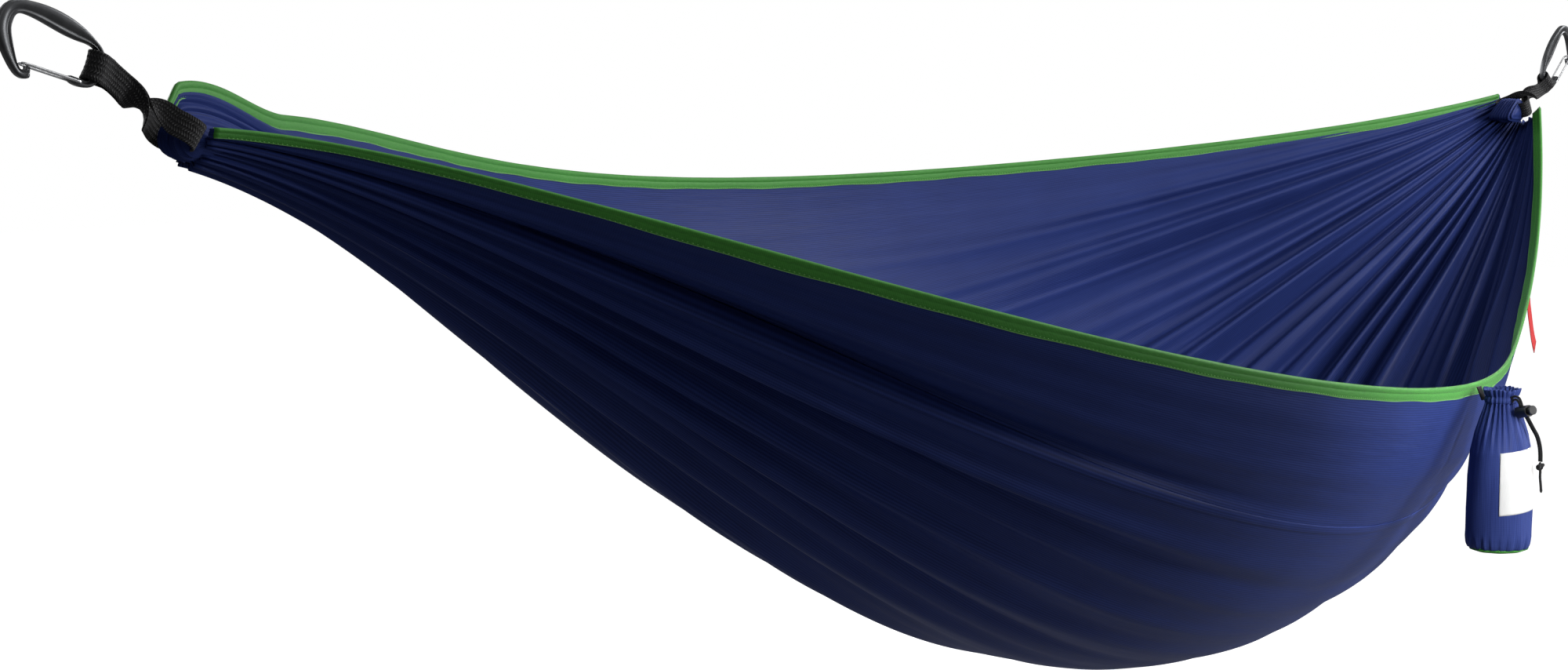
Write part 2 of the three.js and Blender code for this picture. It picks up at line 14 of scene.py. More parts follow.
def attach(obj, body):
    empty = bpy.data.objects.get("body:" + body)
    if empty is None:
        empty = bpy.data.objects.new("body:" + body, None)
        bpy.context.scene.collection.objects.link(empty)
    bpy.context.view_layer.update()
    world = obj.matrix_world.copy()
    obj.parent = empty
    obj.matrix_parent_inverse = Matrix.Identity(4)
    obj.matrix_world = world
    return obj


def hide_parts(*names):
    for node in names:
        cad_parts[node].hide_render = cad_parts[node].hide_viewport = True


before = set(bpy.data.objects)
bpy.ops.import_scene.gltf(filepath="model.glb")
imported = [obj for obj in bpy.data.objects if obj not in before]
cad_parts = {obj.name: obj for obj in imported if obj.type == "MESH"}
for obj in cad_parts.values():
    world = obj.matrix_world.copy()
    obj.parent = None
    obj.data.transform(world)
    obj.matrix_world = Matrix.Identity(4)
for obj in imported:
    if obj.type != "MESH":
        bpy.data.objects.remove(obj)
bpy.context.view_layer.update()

# ---------------------------------------------------------------- sizes, as in the CAD source
MM = 0.001
BED_ORIGIN = np.array((1.439163, -0.016308, -0.083158))   # midway between the two gathers
HALF_SPAN = 1.3
GATHER_HALF_WIDTH = 0.024
GATHER_DEPTH = 0.030
NEAR_OUT = (0.472, (-0.561, -0.408, 0.723))
NEAR_DROP = (0.292, (0.316, 0.322, 0.921))
FAR_OUT = (0.479, (-0.51, -0.04, -0.02))
FAR_DROP = (0.098, (-0.664, 0.477, 0.484))
BOTTOM_DROP = (0.599, (-0.472, 0.149, 0.176))
SECTION_POWER = 1.39
CLOTH_WIDTH = 1.45
CLOTH_LENGTH = 2.90
CLOTH_THICKNESS = 0.0007
CLOTH_ENDS = (-0.985, 0.986)
FAR_CORNER_RISE = 0.030
SEAM_SHARE = 0.118                 # seams, as a share of the cloth's width from each edge

LEFT_END = {"at": (-1.284, 0, -0.010), "swing": 174, "webbing": 35, "carabiner": 23}
RIGHT_END = {"at": (1.254, 0, -0.026), "swing": -10, "webbing": 25, "carabiner": 53}
WEBBING_REACH = 0.100

SACK_PIVOT = np.array((1.549663, -0.496956, -0.383808))
SACK_STAND_OFF = 0.028
SACK_CENTRE = SACK_PIVOT - np.array((0, SACK_STAND_OFF, 0))
SACK_DEPTH_RATIO = 0.9
SACK_RADIUS = 0.038
LABEL_HEIGHT = 67                  # millimetres


# ---------------------------------------------------------------- mesh helpers
def add_mesh(name, points, faces, material, cloth=None, smooth=True):
    """A mesh object; cloth holds each point's place on the flat piece, in metres."""
    mesh = bpy.data.meshes.new(name)
    mesh.from_pydata(np.asarray(points, float).tolist(), [], [tuple(int(i) for i in f) for f in faces])
    mesh.validate()
    mesh.update()
    if smooth:
        mesh.polygons.foreach_set("use_smooth", [True] * len(mesh.polygons))
    if cloth is not None:
        layer = mesh.attributes.new("cloth", "FLOAT_VECTOR", "POINT")
        layer.data.foreach_set("vector", np.asarray(cloth, np.float32).ravel())
    mesh.materials.append(material)
    piece = bpy.data.objects.new(name, mesh)
    bpy.context.scene.collection.objects.link(piece)
    return piece


def grid_faces(rows, columns, closed=False, offset=0):
    """Quads of a grid of points, rows by columns; closed joins the last column to the first."""
    last = columns if closed else columns - 1
    i, j = np.meshgrid(np.arange(rows - 1), np.arange(last), indexing="ij")
    following = (j + 1) % columns
    corners = (i * columns + j, i * columns + following, (i + 1) * columns + following, (i + 1) * columns + j)
    return (np.stack(corners, -1).reshape(-1, 4) + offset).tolist()


def capped_loft(rings):
    """Points and faces of a body lofted through closed rings, with flat ends."""
    rings = np.asarray(rings, float)
    rows, columns = rings.shape[:2]
    faces = grid_faces(rows, columns, closed=True)
    faces.append(list(range(columns))[::-1])
    faces.append([(rows - 1) * columns + j for j in range(columns)])
    return rings.reshape(-1, 3), faces


def face_outward(piece):
    """Turns the faces of a closed mesh outward."""
    mesh = piece.data
    mesh.calc_loop_triangles()
    points = np.array([v.co for v in mesh.vertices])
    corners = np.array([t.vertices for t in mesh.loop_triangles])
    a, b, c = (points[corners[:, k]] for k in range(3))
    if (a * np.cross(b, c)).sum() < 0:
        mesh.flip_normals()
    return piece


def through(points, steps, closed=False):
    """Points spaced along a smooth centripetal curve through the given ones."""
    points = np.asarray(points, float)
    if closed:
        padded = np.vstack([points[-1], points, points[:2]])
    else:
        padded = np.vstack([2 * points[0] - points[1], points, 2 * points[-1] - points[-2]])
    knots = np.concatenate([[0], np.cumsum(np.linalg.norm(np.diff(padded, axis=0), axis=1) ** 0.5)])
    low, high = knots[1], knots[-2]
    found = []
    for t in np.linspace(low, high, steps, endpoint=not closed):
        k = int(np.clip(np.searchsorted(knots, t, "right") - 1, 1, len(padded) - 3))
        p, s = padded[k - 1:k + 3], knots[k - 1:k + 3]
        a = [p[m] + (p[m + 1] - p[m]) * (t - s[m]) / (s[m + 1] - s[m]) for m in range(3)]
        b = [a[m] + (a[m + 1] - a[m]) * (t - s[m]) / (s[m + 2] - s[m]) for m in range(2)]
        found.append(b[0] + (b[1] - b[0]) * (t - s[1]) / (s[2] - s[1]))
    return np.array(found)


def tube_rings(line, radius, sides, squash=1.0):
    """Rings round a line, turned as little as possible from one to the next."""
    line = np.asarray(line, float)
    tangents = np.gradient(line, axis=0)
    tangents /= np.linalg.norm(tangents, axis=1)[:, None]
    side = np.cross(tangents[0], (0.3, 0.2, 0.93))
    angles = np.linspace(0, 2 * np.pi, sides, endpoint=False)
    rings = []
    for k, (point, along) in enumerate(zip(line, tangents)):
        side = side - along * (side @ along)
        side /= np.linalg.norm(side)
        other = np.cross(along, side)
        r = radius[k] if np.ndim(radius) else radius
        rings.append(point + r * (np.cos(angles)[:, None] * side + squash * np.sin(angles)[:, None] * other))
    return np.array(rings)


def stand_for(piece, body, slot, *nodes):
    """Ties a piece to its body and hides the CAD nodes that it stands for; slot is not used."""
    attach(piece, body)
    if nodes:
        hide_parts(*nodes)
    return piece


def ring_faces(rows, columns):
    """Quads of closed rings of which the last joins the first."""
    faces = grid_faces(rows + 1, columns, closed=True)
    return [[i % (rows * columns) for i in face] for face in faces]


def flat_place(along, across):
    """Place on the flat piece of every point of a grid: one measure for each row and each column."""
    along, across = np.meshgrid(along, across, indexing="ij")
    return np.stack([along, across, 0 * along], -1).reshape(-1, 3)


def smoothstep(low, high, x):
    t = np.clip((np.asarray(x, float) - low) / (high - low), 0, 1)
    return t * t * (3 - 2 * t)


def to_world(matrix, points):
    """Local points in millimetres to the row frame in metres."""
    m = np.array(matrix)
    return np.asarray(points, float) * MM @ m[:3, :3].T + m[:3, 3]


# ---------------------------------------------------------------- materials
def new_material(name, roughness, metallic=0.0, sheen=0.0, sheen_roughness=0.4, specular=0.5):
    material = bpy.data.materials.new(name)
    material.use_nodes = True
    shader = material.node_tree.nodes["Principled BSDF"]
    shader.inputs["Roughness"].default_value = roughness
    shader.inputs["Metallic"].default_value = metallic
    shader.inputs["Sheen Weight"].default_value = sheen
    shader.inputs["Sheen Roughness"].default_value = sheen_roughness
    shader.inputs["Specular IOR Level"].default_value = specular
    return material, material.node_tree, shader


def node(tree, kind, **values):
    made = tree.nodes.new(kind)
    for key, value in values.items():
        setattr(made, key, value)
    return made


def maths(tree, operation, first, second=None):
    made = node(tree, "ShaderNodeMath", operation=operation)
    for socket, value in zip(made.inputs, (first, second)):
        if isinstance(value, (int, float)):
            socket.default_value = value
        elif value is not None:
            tree.links.new(value, socket)
    return made.outputs[0]


def plus(tree, first, second):
    return maths(tree, "ADD", first, second)


def times(tree, first, second):
    return maths(tree, "MULTIPLY", first, second)


def cloth_place(tree):
    """Sockets for the place along and across the flat cloth, in metres, and both as a vector."""
    attribute = node(tree, "ShaderNodeAttribute", attribute_name="cloth")
    split = node(tree, "ShaderNodeSeparateXYZ")
    tree.links.new(attribute.outputs["Vector"], split.inputs[0])
    return split.outputs[0], split.outputs[1], attribute.outputs["Vector"]


def object_place(tree):
    coordinates = node(tree, "ShaderNodeTexCoord")
    return coordinates.outputs["Object"]


def noise(tree, vector, scale, detail=3.0, stretch=None, roughness=0.55):
    if stretch is not None:
        mapping = node(tree, "ShaderNodeMapping")
        mapping.inputs["Scale"].default_value = stretch
        tree.links.new(vector, mapping.inputs[0])
        vector = mapping.outputs[0]
    made = node(tree, "ShaderNodeTexNoise")
    made.inputs["Scale"].default_value = scale
    made.inputs["Detail"].default_value = detail
    made.inputs["Roughness"].default_value = roughness
    tree.links.new(vector, made.inputs["Vector"])
    return made.outputs["Fac"]


def waves(tree, place, pitch):
    """A 0-to-1 wave along one measure."""
    turned = times(tree, place, 2 * math.pi / pitch)
    return plus(tree, times(tree, maths(tree, "SINE", turned), 0.5), 0.5)


def ramp(tree, factor, stops):
    made = node(tree, "ShaderNodeValToRGB")
    elements = made.color_ramp.elements
    while len(elements) < len(stops):
        elements.new(0.5)
    for element, (place, colour) in zip(elements, stops):
        element.position = place
        element.color = (*colour, 1)
    tree.links.new(factor, made.inputs[0])
    return made.outputs[0]


def bump(tree, shader, height, strength, distance, before=None):
    made = node(tree, "ShaderNodeBump")
    made.inputs["Strength"].default_value = strength
    made.inputs["Distance"].default_value = distance
    tree.links.new(height, made.inputs["Height"])
    if before is not None:
        tree.links.new(before, made.inputs["Normal"])
    tree.links.new(made.outputs[0], shader.inputs["Normal"])
    return made.outputs[0]


def nylon(name, dark, light, rib=0.0026):
    """Parachute nylon: fine ribs along the cloth, a faint cross weave and a soft sheen."""
    material, tree, shader = new_material(name, 0.5, sheen=0.03, sheen_roughness=0.35, specular=0.08)
    shader.inputs["Sheen Tint"].default_value = (0.30, 0.42, 1.0, 1)
    along, across, place = cloth_place(tree)
    ribs = waves(tree, across, rib)
    cross = waves(tree, along, rib * 0.8)
    slub = noise(tree, place, 1.0, 3.0, (14.0, 420.0, 1.0))
    blotch = noise(tree, place, 9.0, 3.0)
    weave = plus(tree, times(tree, ribs, 0.34), times(tree, cross, 0.10))
    tone = plus(tree, weave, times(tree, slub, 0.36))
    tone = plus(tree, tone, times(tree, blotch, 0.25))
    colour = ramp(tree, tone, [(0.25, dark), (0.80, light)])
    tree.links.new(colour, shader.inputs["Base Color"])
    rough = plus(tree, times(tree, slub, 0.16), 0.42)
    tree.links.new(rough, shader.inputs["Roughness"])
    creases = noise(tree, place, 1.0, 4.0, (7.0, 60.0, 1.0))
    first = bump(tree, shader, creases, 0.22, 0.004)
    bump(tree, shader, weave, 0.30, 0.0003, before=first)
    return material


def tape(name, dark, light, edge):
    """Folded binding tape: fine cross ribs, a paler selvedge and a little wear."""
    material, tree, shader = new_material(name, 0.55, sheen=0.15, specular=0.35)
    along, across, place = cloth_place(tree)
    ribs = waves(tree, along, 0.0011)
    slub = noise(tree, place, 1.0, 3.0, (160.0, 500.0, 1.0))
    patch = noise(tree, place, 7.0, 2.0)
    tone = plus(tree, times(tree, ribs, 0.25), times(tree, slub, 0.45))
    tone = plus(tree, tone, times(tree, patch, 0.30))
    body = ramp(tree, tone, [(0.25, dark), (0.85, light)])
    rim = maths(tree, "GREATER_THAN", maths(tree, "ABSOLUTE", across), 0.0121)
    mixed = node(tree, "ShaderNodeMix", data_type="RGBA")
    tree.links.new(rim, mixed.inputs[0])
    tree.links.new(body, mixed.inputs[6])
    mixed.inputs[7].default_value = (*edge, 1)
    tree.links.new(mixed.outputs[2], shader.inputs["Base Color"])
    bump(tree, shader, plus(tree, ribs, slub), 0.25, 0.0003)
    return material


def webbing_weave(name):
    """Charcoal webbing: diagonal twill with rows of pale flecks along the strap."""
    material, tree, shader = new_material(name, 0.78, sheen=0.12, specular=0.25)
    along, across, place = cloth_place(tree)
    rows = waves(tree, across, 0.0040)
    part = maths(tree, "FRACT", times(tree, across, 125.0))
    zigzag = maths(tree, "ABSOLUTE", maths(tree, "SUBTRACT", part, 0.5))
    slanted = plus(tree, along, times(tree, zigzag, 0.004))
    twill = waves(tree, slanted, 0.0022)
    fleck = noise(tree, place, 1.0, 2.0, (900.0, 500.0, 1.0))
    pale = times(tree, maths(tree, "GREATER_THAN", times(tree, rows, twill), 0.62),
                 maths(tree, "GREATER_THAN", fleck, 0.47))
    tone = plus(tree, times(tree, twill, 0.35), times(tree, fleck, 0.25))
    tone = plus(tree, tone, times(tree, pale, 0.40))
    colour = ramp(tree, tone, [(0.15, (0.006, 0.006, 0.007)), (0.55, (0.026, 0.026, 0.028)),
                               (0.95, (0.16, 0.16, 0.165))])
    tree.links.new(colour, shader.inputs["Base Color"])
    bump(tree, shader, plus(tree, twill, rows), 0.6, 0.0006)
    return material


def anodised(name):
    """Satin charcoal anodising with faint tumble marks."""
    material, tree, shader = new_material(name, 0.34, metallic=0.75, specular=0.5)
    place = object_place(tree)
    grain = noise(tree, place, 900.0, 2.0)
    wear = noise(tree, place, 60.0, 4.0)
    tone = plus(tree, times(tree, grain, 0.3), times(tree, wear, 0.7))
    colour = ramp(tree, tone, [(0.30, (0.070, 0.073, 0.078)), (0.72, (0.125, 0.128, 0.135))])
    tree.links.new(colour, shader.inputs["Base Color"])
    rough = plus(tree, times(tree, wear, 0.18), 0.26)
    tree.links.new(rough, shader.inputs["Roughness"])
    bump(tree, shader, grain, 0.06, 0.0002)
    return material


def steel(name):
    material, tree, shader = new_material(name, 0.24, metallic=1.0)
    place = object_place(tree)
    drawn = noise(tree, place, 500.0, 3.0)
    colour = ramp(tree, drawn, [(0.3, (0.72, 0.73, 0.75)), (0.75, (0.86, 0.87, 0.89))])
    tree.links.new(colour, shader.inputs["Base Color"])
    rough = plus(tree, times(tree, drawn, 0.20), 0.16)
    tree.links.new(rough, shader.inputs["Roughness"])
    bump(tree, shader, drawn, 0.04, 0.00005)
    return material


def plastic(name):
    """Black moulded plastic with a fine spark texture."""
    material, tree, shader = new_material(name, 0.38, specular=0.5)
    place = object_place(tree)
    grain = noise(tree, place, 2400.0, 2.0)
    scuff = noise(tree, place, 160.0, 4.0)
    colour = ramp(tree, scuff, [(0.3, (0.006, 0.006, 0.007)), (0.8, (0.020, 0.020, 0.022))])
    tree.links.new(colour, shader.inputs["Base Color"])
    rough = plus(tree, times(tree, scuff, 0.25), 0.27)
    tree.links.new(rough, shader.inputs["Roughness"])
    bump(tree, shader, grain, 0.12, 0.0001)
    return material


def braid(name):
    """Black braided cord."""
    material, tree, shader = new_material(name, 0.7, sheen=0.2, specular=0.3)
    place = object_place(tree)
    split = node(tree, "ShaderNodeSeparateXYZ")
    tree.links.new(place, split.inputs[0])
    rising = plus(tree, split.outputs[2], times(tree, split.outputs[0], 0.8))
    falling = maths(tree, "SUBTRACT", split.outputs[2], times(tree, split.outputs[0], 0.8))
    plait = times(tree, waves(tree, rising, 0.0011), waves(tree, falling, 0.0011))
    colour = ramp(tree, plait, [(0.1, (0.004, 0.004, 0.005)), (0.9, (0.030, 0.030, 0.033))])
    tree.links.new(colour, shader.inputs["Base Color"])
    bump(tree, shader, plait, 0.7, 0.0004)
    return material


def woven_label(name, dark, light):
    material, tree, shader = new_material(name, 0.6, sheen=0.08, specular=0.3)
    along, across, place = cloth_place(tree)
    weave = times(tree, waves(tree, along, 0.0009), waves(tree, across, 0.0007))
    fibre = noise(tree, place, 1.0, 3.0, (700.0, 120.0, 1.0))
    tone = plus(tree, times(tree, weave, 0.5), times(tree, fibre, 0.5))
    colour = ramp(tree, tone, [(0.2, dark), (0.8, light)])
    tree.links.new(colour, shader.inputs["Base Color"])
    bump(tree, shader, weave, 0.3, 0.0002)
    return material


NAVY = nylon("navy_nylon", (0.013, 0.023, 0.110), (0.031, 0.055, 0.235))
GREEN = tape("green_binding", (0.030, 0.21, 0.018), (0.085, 0.42, 0.050), (0.25, 0.60, 0.17))
THREAD = woven_label("green_thread", (0.16, 0.50, 0.10), (0.30, 0.68, 0.22))
WEBBING = webbing_weave("charcoal_webbing")
ANODISED = anodised("charcoal_anodising")
STEEL = steel("bright_wire")
PLASTIC = plastic("black_plastic")
BRAID = braid("black_cord")
RED = woven_label("red_label_cloth", (0.52, 0.012, 0.015), (0.75, 0.030, 0.030))
WHITE = woven_label("white_label_cloth", (0.74, 0.74, 0.73), (0.86, 0.86, 0.85))


# ---------------------------------------------------------------- camera
def make_camera():
    camera = bpy.data.objects.new("camera", bpy.data.cameras.new("camera"))
    bpy.context.scene.collection.objects.link(camera)
    camera.location = (-1.45084, -1.86631, -0.02316)
    camera.rotation_euler = (math.radians(84.58), 0, math.radians(-52.3))
    camera.data.lens = 68.5
    camera.data.sensor_width = 36
    camera.data.clip_start = 0.05
    camera.data.clip_end = 60
    bpy.context.scene.camera = camera
    return camera


make_camera()


# ---------------------------------------------------------------- the sack's drawcord
LOCK_ANGLE = math.radians(250)
LOCK_OUT = 32.5
LOCK_DROP = -22
SLIDE = (0.42, 0.24, 0.875)
STRAIGHT_RUN = 31
KNOT_OUT, KNOT_SIDE, KNOT_Z, KNOT_RADIUS = 41.8, 16.6, -81, 4.8
CORD_DIAMETER = 0.0026
CORD_APART = 1.7


def lock_frame():
    """Directions and centre of the cord lock in the sack's own frame, in millimetres."""
    outward = np.array((math.cos(LOCK_ANGLE), math.sin(LOCK_ANGLE), 0))
    sideways = np.array((-outward[1], outward[0], 0))
    slide = SLIDE[0] * sideways + SLIDE[1] * outward - SLIDE[2] * np.array((0, 0, 1))
    button = outward - (outward @ slide) * slide
    button /= np.linalg.norm(button)
    centre = LOCK_OUT * outward + np.array((0, 0, LOCK_DROP))
    return outward, sideways, slide, button, centre


def strand_route(side):
    """Points of one strand, from the neck over and down through the lock to the knot."""
    outward, sideways, slide, button, centre = lock_frame()
    apart = side * CORD_APART
    bend = 7
    bend_out = LOCK_OUT - bend - 2
    bend_z = LOCK_DROP + 7
    over = -3.4

    def local(out, along, z):
        return out * outward + along * sideways + np.array((0, 0, z))

    points = [local(18.2 - apart * 0.2, over, bend_z + 3.9 + apart * 0.95)]
    for degrees in range(116, 20, -24):
        angle = math.radians(degrees)
        reach = bend + apart
        points.append(local(bend_out + reach * math.cos(angle), over, bend_z + reach * math.sin(angle)))
    for run in (-5, 0, 10, 20, STRAIGHT_RUN):
        points.append(centre + run * slide + apart * button)
    spread = apart * 0.9
    points.append(local(KNOT_OUT - 0.4 + spread, KNOT_SIDE - 1, -60))
    points.append(local(KNOT_OUT + spread, KNOT_SIDE - 0.2, -68))
    points.append(local(KNOT_OUT + spread, KNOT_SIDE, KNOT_Z + KNOT_RADIUS + 0.2))
    return np.array(points) * MM + SACK_CENTRE


def make_strand(name, side, node_name):
    line = through(strand_route(side), 40)
    curve = bpy.data.curves.new(name, "CURVE")
    curve.dimensions = "3D"
    curve.bevel_depth = CORD_DIAMETER / 2
    curve.bevel_resolution = 4
    curve.use_fill_caps = True
    spline = curve.splines.new("POLY")
    spline.points.add(len(line) - 1)
    for point, place in zip(spline.points, line):
        point.co = (*place, 1)
    curve.materials.append(BRAID)
    strand = bpy.data.objects.new(name, curve)
    bpy.context.scene.collection.objects.link(strand)
    stand_for(strand, "stuff_sack", "black_cord", node_name)
    length = float(np.linalg.norm(np.diff(line, axis=0), axis=1).sum())
    return strand, line[0], length


def make_knot():
    """An overhand knot of the same cord, with its fused tail."""
    outward, sideways = lock_frame()[:2]
    middle = KNOT_OUT * outward + KNOT_SIDE * sideways + np.array((0, 0, KNOT_Z))
    turns = np.linspace(0, 2 * np.pi, 97)[:-1]
    ring = 2.6 + 1.15 * np.cos(3 * turns)
    trefoil = np.stack([ring * np.cos(2 * turns), ring * np.sin(2 * turns), 1.7 * np.sin(3 * turns)], 1)
    axes = np.stack([sideways, outward * 0.35 + np.array((0, 0, 0.94)), outward])
    knot_points = tube_rings(np.vstack([trefoil, trefoil[:2]]) @ axes + middle, 1.35, 10)
    points, faces = capped_loft(knot_points)
    route = ((0, 0, 1), (0.4, 0, -6), (0.2, 0, -12), (2.2, 0, -20), (4, 0, -29))
    tail = through([middle + np.array(point) for point in route], 26)
    radius = np.full(len(tail), 1.45)
    radius[-3:] = (1.6, 1.45, 0.8)
    more, more_faces = capped_loft(tube_rings(tail, radius, 10))
    faces += [[i + len(points) for i in f] for f in more_faces]
    knot = add_mesh("knot_tail", np.vstack([points, more]) * MM + SACK_CENTRE, faces, BRAID)
    return stand_for(knot, "stuff_sack", "black_cord", "drawcord_knot")


inner_strand, inner_exit, inner_length = make_strand("cord_inner", -1, "drawcord_strand_inner")
outer_strand, outer_exit, outer_length = make_strand("cord_outer", 1, "drawcord_strand_outer")
knot_piece = make_knot()


# ---------------------------------------------------------------- the bed's shape
def arch(u, size, shape):
    a, b, c = shape
    return size * (1 - u * u) * (1 + a * u * u + b * u + c * u ** 3)


def bed_point(u, v):
    """The smooth bed; v sweeps from the near edge, 0, through the bottom to the far edge, 1."""
    far_share = (1 - np.cos(np.pi * v)) / 2
    near_y = -arch(u, *NEAR_OUT) - GATHER_HALF_WIDTH
    far_y = arch(u, *FAR_OUT) + GATHER_HALF_WIDTH
    near_z = -arch(u, *NEAR_DROP)
    far_z = -arch(u, *FAR_DROP)
    depth = arch(u, *BOTTOM_DROP) + GATHER_DEPTH + (near_z + far_z) / 2
    y = near_y * (1 - far_share) + far_y * far_share
    z = near_z * (1 - far_share) + far_z * far_share - depth * np.abs(np.sin(np.pi * v)) ** SECTION_POWER
    return np.stack([u * HALF_SPAN + 0 * v, y, z], -1) + BED_ORIGIN


SWEEP = np.linspace(0, 1, 401)
TABLE_U = np.linspace(-0.99, 0.99, 397)
_table = bed_point(TABLE_U[:, None], SWEEP[None, :])
_steps = np.linalg.norm(np.diff(_table, axis=1), axis=2)
GIRTH = _steps.sum(1)                                   # length of each cross-section
_shares = np.concatenate([np.zeros((len(TABLE_U), 1)), np.cumsum(_steps, axis=1)], 1) / GIRTH[:, None]


def sweep_of(u, w):
    """The sweep v at which the share w of the section's length is reached."""
    u, w = np.broadcast_arrays(u, w)
    place = np.interp(u, TABLE_U, np.arange(len(TABLE_U)))
    low = np.floor(place).astype(int).clip(0, len(TABLE_U) - 2)
    part = place - low
    flat_low, flat_w, found = low.ravel(), w.ravel(), np.empty(u.size)
    for k in np.unique(flat_low):
        here = flat_low == k
        first = np.interp(flat_w[here], _shares[k], SWEEP)
        second = np.interp(flat_w[here], _shares[k + 1], SWEEP)
        found[here] = first + (second - first) * part.ravel()[here]
    return found.reshape(u.shape)


def smooth_normal(u, v):
    """Unit normal of the smooth bed, into its hollow."""
    du = bed_point(u + 1e-3, v) - bed_point(u - 1e-3, v)
    inside = np.clip(v, 0.012, 0.988)
    dv = bed_point(u, inside + 1e-3) - bed_point(u, inside - 1e-3)
    normal = np.cross(du, dv)
    return normal / np.linalg.norm(normal, axis=-1, keepdims=True)


def fold_layer(count, seed):
    """Places, strengths and reaches of one set of folds across the cloth."""
    random = np.random.default_rng(seed)
    widths = random.uniform(0.65, 1.35, count)
    places = np.concatenate([[0], np.cumsum(widths)]) / widths.sum()
    strengths = random.uniform(0.5, 1.25, count + 1)
    reaches = random.uniform(0.75, 1.25, count + 1)
    leans = random.uniform(0, 6.28, count + 1)
    return places, strengths, reaches, leans


def folds_of(layer, w, reach_share):
    """Height of one set of folds, and how far each fold still stands at this distance."""
    places, strengths, reaches, leans = layer
    phase = np.interp(w, places, np.arange(len(places)))
    strength = np.interp(phase, np.arange(len(places)), strengths)
    reach = np.interp(phase, np.arange(len(places)), reaches)
    lean = np.interp(phase, np.arange(len(places)), leans)
    ridge = np.cos(2 * np.pi * phase) + 0.28 * np.cos(4 * np.pi * phase + lean)
    return strength * ridge * smoothstep(1.0, 0.25, reach_share / reach)


SIDES = {
    -1: [(fold_layer(9, 11), 1.30, 0.30), (fold_layer(21, 12), 1.20, 0.80), (fold_layer(44, 13), 0.35, 0.5)],
    1: [(fold_layer(9, 21), 1.25, 0.32), (fold_layer(20, 22), 1.10, 0.85), (fold_layer(42, 23), 0.40, 0.5)],
}


FOLD_INWARD = 0.55                 # how far the folds stand inside the smooth bed, of their height


def fold_height(u, w):
    """How far the gathered cloth stands out of the smooth bed."""
    height = np.zeros(np.broadcast(u, w).shape)
    girth = np.interp(u, TABLE_U, GIRTH)
    spare = np.sqrt(np.clip(CLOTH_WIDTH ** 2 - girth ** 2, 0, None))
    for side, layers in SIDES.items():
        away = 1 - side * u
        wander = 0.008 * np.sin(5.1 * away + 9 * w) * np.sin(17 * w + 2.3 * away)
        moved = w + wander * smoothstep(0, 0.5, away)
        for layer, reach, share in layers:
            count = len(layer[0]) - 1
            tall = share * spare / (4.4 * count)
            inward = FOLD_INWARD * smoothstep(1.0, 0.25, away / reach)
            height += tall * (folds_of(layer, moved, away / reach) + inward)
    edge = smoothstep(0, 0.11, w) * smoothstep(0, 0.11, 1 - w)
    bunched = 0.16 + 0.84 * smoothstep(0.10, 0.80, girth)
    return height * edge * bunched


def corner_rise(u, w):
    """The far corner stands up beside the left gather, then comes down to the webbing."""
    rise = smoothstep(-0.80, -0.955, u) * (1 - 0.55 * smoothstep(-0.962, -0.98, u))
    return FAR_CORNER_RISE * rise * smoothstep(0.72, 1.0, w)


def cloth_point(u, w, lift=0.0):
    """A point of the gathered cloth, lifted off it into the hollow."""
    u, w = np.broadcast_arrays(np.asarray(u, float), np.asarray(w, float))
    v = sweep_of(u, w)
    points = bed_point(u, v) + smooth_normal(u, v) * fold_height(u, w)[..., None]
    points[..., 2] += corner_rise(u, w)
    if np.any(lift):
        points = points + cloth_normal(u, w) * np.asarray(lift)[..., None]
    return points


def cloth_normal(u, w):
    low, high = np.clip(w - 0.0015, 0, 1), np.clip(w + 0.0015, 0, 1)
    du = cloth_point(u + 1e-3, w) - cloth_point(u - 1e-3, w)
    dw = cloth_point(u, high) - cloth_point(u, low)
    normal = np.cross(du, dw)
    return normal / np.linalg.norm(normal, axis=-1, keepdims=True)


def cloth_at(u, w):
    """Place on the flat cloth: along its length and across its width, in metres."""
    u, w = np.broadcast_arrays(u, w)
    return np.stack([u * CLOTH_LENGTH / 2, w * CLOTH_WIDTH, np.zeros(u.shape)], -1)


def spread_u(count, ends=CLOTH_ENDS):
    """Stations along the bed, closer together towards the gathers."""
    t = np.linspace(-1, 1, count)
    eased = 0.72 * t + 0.28 * np.sin(t * np.pi / 2)
    eased /= eased[-1]
    return (ends[0] + ends[1]) / 2 + eased * (ends[1] - ends[0]) / 2


def make_bed():
    u = spread_u(216)[:, None]
    w = np.linspace(0, 1, 228)[None, :]
    points = cloth_point(u, w)
    bed = add_mesh("gathered_bed_cloth", points.reshape(-1, 3), grid_faces(*points.shape[:2]), NAVY,
                   cloth_at(u, w).reshape(-1, 3))
    thick = bed.modifiers.new("thickness", "SOLIDIFY")
    thick.thickness = CLOTH_THICKNESS
    thick.offset = 0
    return stand_for(bed, "bed", "navy_nylon",
                     "bed_near_side_panel", "bed_centre_panel", "bed_far_side_panel")


def make_seam(name, w_middle, node_name):
    """A felled seam: a flat band on the outside."""
    u = spread_u(300)
    across = np.array((-5.5, -4.5, -2, 0, 2, 4.5, 5.5, 4.5, 0, -4.5)) * MM
    lift = np.array((0.2, 0.9, 1.0, 1.0, 1.0, 0.9, 0.2, -0.2, -0.2, -0.2)) * MM
    girth = np.interp(u, TABLE_U, GIRTH)
    w = w_middle + across[None, :] / np.maximum(girth, 0.35)[:, None]
    points = cloth_point(u[:, None], w, -lift[None, :] - CLOTH_THICKNESS / 2 + 0 * w)
    verts, faces = capped_loft(points)
    cloth = flat_place(u * CLOTH_LENGTH / 2, across)
    seam = face_outward(add_mesh(name, verts, faces, NAVY, cloth))
    return stand_for(seam, "bed", "navy_nylon", node_name)


